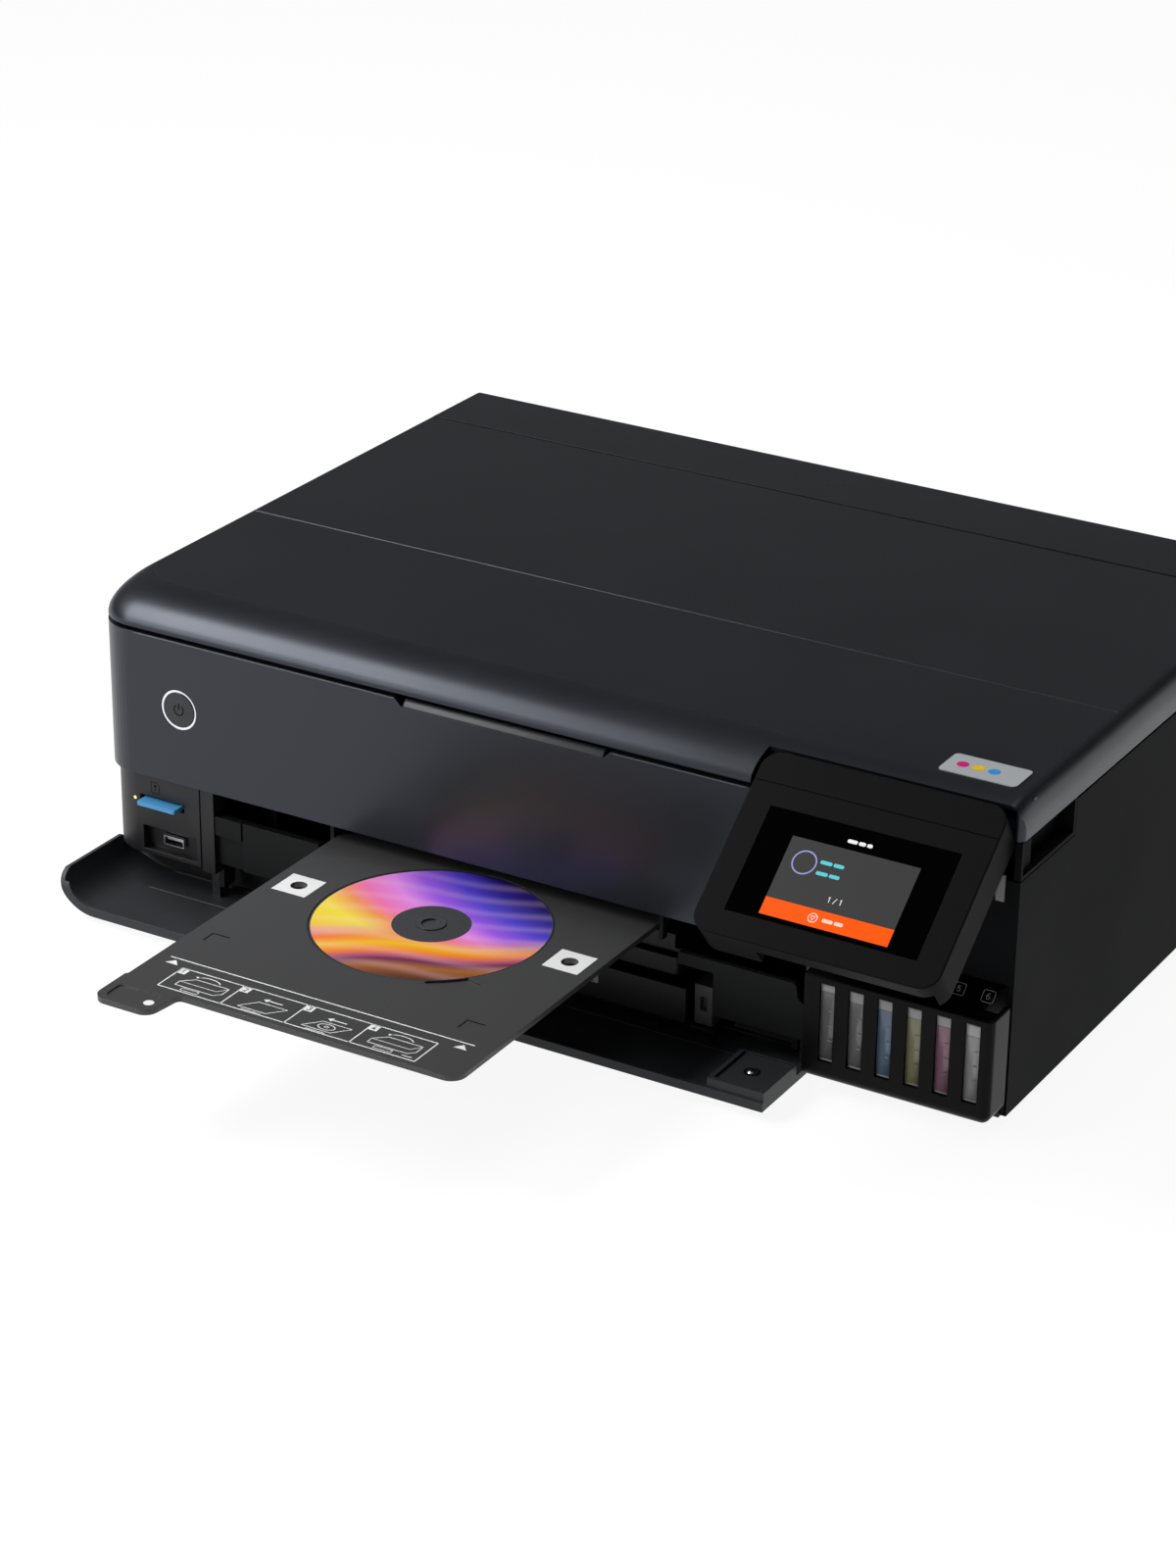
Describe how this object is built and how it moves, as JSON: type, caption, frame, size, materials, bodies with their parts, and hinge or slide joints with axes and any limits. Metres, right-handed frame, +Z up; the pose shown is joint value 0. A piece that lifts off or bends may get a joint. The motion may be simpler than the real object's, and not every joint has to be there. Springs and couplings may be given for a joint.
{
  "type": "inkjet multifunction printer",
  "caption": "Wide-format inkjet printer and scanner with refillable ink tanks, tilting touch panel, fold-down front cover and a tray for printable discs.",
  "frame": {"origin": "on the table under the middle of the whole printer with its disc tray out", "axes": "+X to the right seen from the front, +Y towards the back, +Z up"},
  "size_m": [0.523, 0.5764, 0.169],
  "materials": {
    "casing_plastic": "fine moulded grain",
    "lid_plastic": "fine moulded grain, soft sheen",
    "dark_plastic": "moulded, black",
    "tray_plastic": "smooth moulded",
    "panel_plastic": "fine moulded grain",
    "label_gloss": "polished black",
    "screen_glass": "touch screen cover glass over black",
    "scanner_glass": "clear float glass",
    "button_plastic": "satin",
    "disc_print": "printed polycarbonate",
    "card_blue": "satin",
    "rubber_black": "moulded",
    "plated_steel": "zinc plated",
    "foam_white": "closed-cell foam with a white film",
    "board_green": "solder mask",
    "gear_white": "acetal",
    "roller_steel": "ground shaft with rubber sleeves",
    "belt_rubber": "toothed",
    "waste_box": "moulded",
    "ink_tank_1": "translucent, ink behind it",
    "ink_tank_2": "translucent, ink behind it",
    "ink_tank_3": "translucent, ink behind it",
    "ink_tank_4": "translucent, ink behind it",
    "ink_tank_5": "translucent, ink behind it",
    "ink_tank_6": "translucent, ink behind it"
  },
  "bodies": {
    "root": {"base_pan": "dark_plastic", "rubber_feet": "rubber_black", "left_side_panel": "casing_plastic", "right_side_panel": "casing_plastic", "rear_panel": "casing_plastic", "front_panel": "casing_plastic", "card_panel": "dark_plastic", "card_reader": "plated_steel", "bay_frame": "dark_plastic", "bay_flaps": "dark_plastic", "tank_fascia": "dark_plastic", "tank_label_strip": "label_gloss", "rear_feed_chute": "dark_plastic", "chassis_frame": "plated_steel", "platen": "dark_plastic", "carriage_rail": "plated_steel", "carriage_belt": "belt_rubber", "drive_motors": "plated_steel", "main_board": "board_green", "power_supply": "plated_steel", "ink_tank_1": "ink_tank_1", "ink_tank_2": "ink_tank_2", "ink_tank_3": "ink_tank_3", "ink_tank_4": "ink_tank_4", "ink_tank_5": "ink_tank_5", "ink_tank_6": "ink_tank_6"},
    "power_button": {"power_button": "button_plastic"},
    "memory_card": {"memory_card": "card_blue"},
    "front_cover": {"front_cover": "dark_plastic"},
    "tank_cover": {"tank_cover": "dark_plastic"},
    "scanner_unit": {"scanner_frame": "casing_plastic", "scanner_glass": "scanner_glass"},
    "scan_carriage": {"scan_carriage": "dark_plastic"},
    "document_cover": {"document_cover": "lid_plastic", "cover_mat": "foam_white"},
    "control_panel": {"panel_housing": "panel_plastic", "panel_glass": "screen_glass"},
    "rear_feed_cover": {"rear_feed_cover": "lid_plastic"},
    "paper_support": {"paper_support": "dark_plastic"},
    "disc_tray": {"disc_tray": "tray_plastic", "printed_disc": "disc_print"},
    "lower_cassette": {"lower_cassette": "dark_plastic"},
    "left_cassette_guide": {"left_cassette_guide": "tray_plastic"},
    "right_cassette_guide": {"right_cassette_guide": "tray_plastic"},
    "upper_cassette": {"upper_cassette": "dark_plastic"},
    "output_tray": {"output_tray": "dark_plastic"},
    "print_carriage": {"print_carriage": "dark_plastic"},
    "drive_pulley": {"drive_pulley": "gear_white"},
    "idler_pulley": {"idler_pulley": "gear_white"},
    "feed_roller": {"feed_roller": "roller_steel"},
    "eject_roller": {"eject_roller": "roller_steel"},
    "idler_gear": {"idler_gear": "gear_white"},
    "motor_pinion": {"motor_pinion": "gear_white"},
    "maintenance_box": {"maintenance_box": "waste_box"},
    "tank_cap_1": {"tank_cap_1": "dark_plastic"},
    "tank_cap_2": {"tank_cap_2": "dark_plastic"},
    "tank_cap_3": {"tank_cap_3": "dark_plastic"},
    "tank_cap_4": {"tank_cap_4": "dark_plastic"},
    "tank_cap_5": {"tank_cap_5": "dark_plastic"},
    "tank_cap_6": {"tank_cap_6": "dark_plastic"}
  },
  "joints": [
    {"name": "power_button_press", "type": "slide", "parent": "root", "child": "power_button", "axis": [0, 1, 0], "range_m": [0, 0.0012], "stiffness_N_per_m": 400},
    {"name": "memory_card_slide", "type": "slide", "parent": "root", "child": "memory_card", "axis": [0, 1, 0], "range_m": [-0.02, 0]},
    {"name": "front_cover_hinge", "type": "hinge", "parent": "root", "child": "front_cover", "pos_m": [0, -0.07315, 0.019], "axis": [-1, 0, 0], "range_deg": [0, 58]},
    {"name": "tank_cover_hinge", "type": "hinge", "parent": "root", "child": "tank_cover", "pos_m": [0.2085, 0.00025, 0.0975], "axis": [-1, 0, 0], "range_deg": [0, 28]},
    {"name": "scanner_unit_hinge", "type": "hinge", "parent": "root", "child": "scanner_unit", "pos_m": [0, 0.22925, 0.1645], "axis": [-1, 0, 0], "range_deg": [0, 30]},
    {"name": "scan_carriage_slide", "type": "slide", "parent": "scanner_unit", "child": "scan_carriage", "axis": [1, 0, 0], "range_m": [0, 0.284]},
    {"name": "document_cover_hinge", "type": "hinge", "parent": "scanner_unit", "child": "document_cover", "pos_m": [0, 0.22925, 0.1645], "axis": [1, 0, 0], "range_deg": [-75, 0]},
    {"name": "control_panel_hinge", "type": "hinge", "parent": "scanner_unit", "child": "control_panel", "pos_m": [0.1935, -0.07785, 0.1499], "axis": [1, 0, 0], "range_deg": [0, 50]},
    {"name": "rear_feed_cover_hinge", "type": "hinge", "parent": "root", "child": "rear_feed_cover", "pos_m": [0, 0.28375, 0.1635], "axis": [-1, 0, 0], "range_deg": [0, 95]},
    {"name": "paper_support_slide", "type": "slide", "parent": "rear_feed_cover", "child": "paper_support", "axis": [0, -1, 0], "range_m": [0, 0.035]},
    {"name": "disc_tray_slide", "type": "slide", "parent": "root", "child": "disc_tray", "axis": [0, 1, 0], "range_m": [-0.06, 0.175]},
    {"name": "lower_cassette_slide", "type": "slide", "parent": "root", "child": "lower_cassette", "axis": [0, 1, 0], "range_m": [-0.2, 0]},
    {"name": "left_cassette_guide_slide", "type": "slide", "parent": "lower_cassette", "child": "left_cassette_guide", "axis": [1, 0, 0], "range_m": [0, 0.05]},
    {"name": "right_cassette_guide_slide", "type": "slide", "parent": "lower_cassette", "child": "right_cassette_guide", "axis": [1, 0, 0], "range_m": [-0.05, 0]},
    {"name": "upper_cassette_slide", "type": "slide", "parent": "root", "child": "upper_cassette", "axis": [0, 1, 0], "range_m": [-0.12, 0]},
    {"name": "output_tray_slide", "type": "slide", "parent": "root", "child": "output_tray", "axis": [0, 1, 0], "range_m": [-0.15, 0]},
    {"name": "print_carriage_slide", "type": "slide", "parent": "root", "child": "print_carriage", "axis": [1, 0, 0], "range_m": [-0.33, 0]},
    {"name": "drive_pulley_spin", "type": "hinge", "parent": "root", "child": "drive_pulley", "pos_m": [-0.2255, 0.09475, 0.095], "axis": [0, 1, 0], "continuous": true},
    {"name": "idler_pulley_spin", "type": "hinge", "parent": "root", "child": "idler_pulley", "pos_m": [0.2465, 0.09475, 0.095], "axis": [0, 1, 0], "continuous": true},
    {"name": "feed_roller_spin", "type": "hinge", "parent": "root", "child": "feed_roller", "pos_m": [-0.0215, 0.06225, 0.0555], "axis": [1, 0, 0], "continuous": true},
    {"name": "eject_roller_spin", "type": "hinge", "parent": "root", "child": "eject_roller", "pos_m": [-0.0215, 0.01225, 0.0555], "axis": [1, 0, 0], "continuous": true},
    {"name": "idler_gear_spin", "type": "hinge", "parent": "root", "child": "idler_gear", "pos_m": [-0.2055, 0.03725, 0.0555], "axis": [1, 0, 0], "continuous": true},
    {"name": "motor_pinion_spin", "type": "hinge", "parent": "root", "child": "motor_pinion", "pos_m": [-0.2055, 0.08325, 0.0555], "axis": [1, 0, 0], "continuous": true},
    {"name": "maintenance_box_slide", "type": "slide", "parent": "root", "child": "maintenance_box", "axis": [0, 1, 0], "range_m": [0, 0.08]},
    {"name": "tank_cap_1_hinge", "type": "hinge", "parent": "root", "child": "tank_cap_1", "pos_m": [0.17391, -0.00775, 0.0644], "axis": [-1, 0, 0], "range_deg": [0, 100]},
    {"name": "tank_cap_2_hinge", "type": "hinge", "parent": "root", "child": "tank_cap_2", "pos_m": [0.18937, -0.00775, 0.0644], "axis": [-1, 0, 0], "range_deg": [0, 100]},
    {"name": "tank_cap_3_hinge", "type": "hinge", "parent": "root", "child": "tank_cap_3", "pos_m": [0.20483, -0.00775, 0.0644], "axis": [-1, 0, 0], "range_deg": [0, 100]},
    {"name": "tank_cap_4_hinge", "type": "hinge", "parent": "root", "child": "tank_cap_4", "pos_m": [0.22029, -0.00775, 0.0644], "axis": [-1, 0, 0], "range_deg": [0, 100]},
    {"name": "tank_cap_5_hinge", "type": "hinge", "parent": "root", "child": "tank_cap_5", "pos_m": [0.23575, -0.00775, 0.0644], "axis": [-1, 0, 0], "range_deg": [0, 100]},
    {"name": "tank_cap_6_hinge", "type": "hinge", "parent": "root", "child": "tank_cap_6", "pos_m": [0.25122, -0.00775, 0.0644], "axis": [-1, 0, 0], "range_deg": [0, 100]}
  ],
  "couplings": [
    {"joint": "paper_support_slide", "follows": "rear_feed_cover_hinge", "m_per_rad": 0.019},
    {"joint": "right_cassette_guide_slide", "follows": "left_cassette_guide_slide", "ratio": -1},
    {"joint": "drive_pulley_spin", "follows": "print_carriage_slide", "rad_per_m": -151.52},
    {"joint": "idler_pulley_spin", "follows": "print_carriage_slide", "rad_per_m": -151.52},
    {"joint": "eject_roller_spin", "follows": "feed_roller_spin", "ratio": 1},
    {"joint": "idler_gear_spin", "follows": "feed_roller_spin", "ratio": -0.92308},
    {"joint": "motor_pinion_spin", "follows": "feed_roller_spin", "ratio": -1.3333}
  ]
}
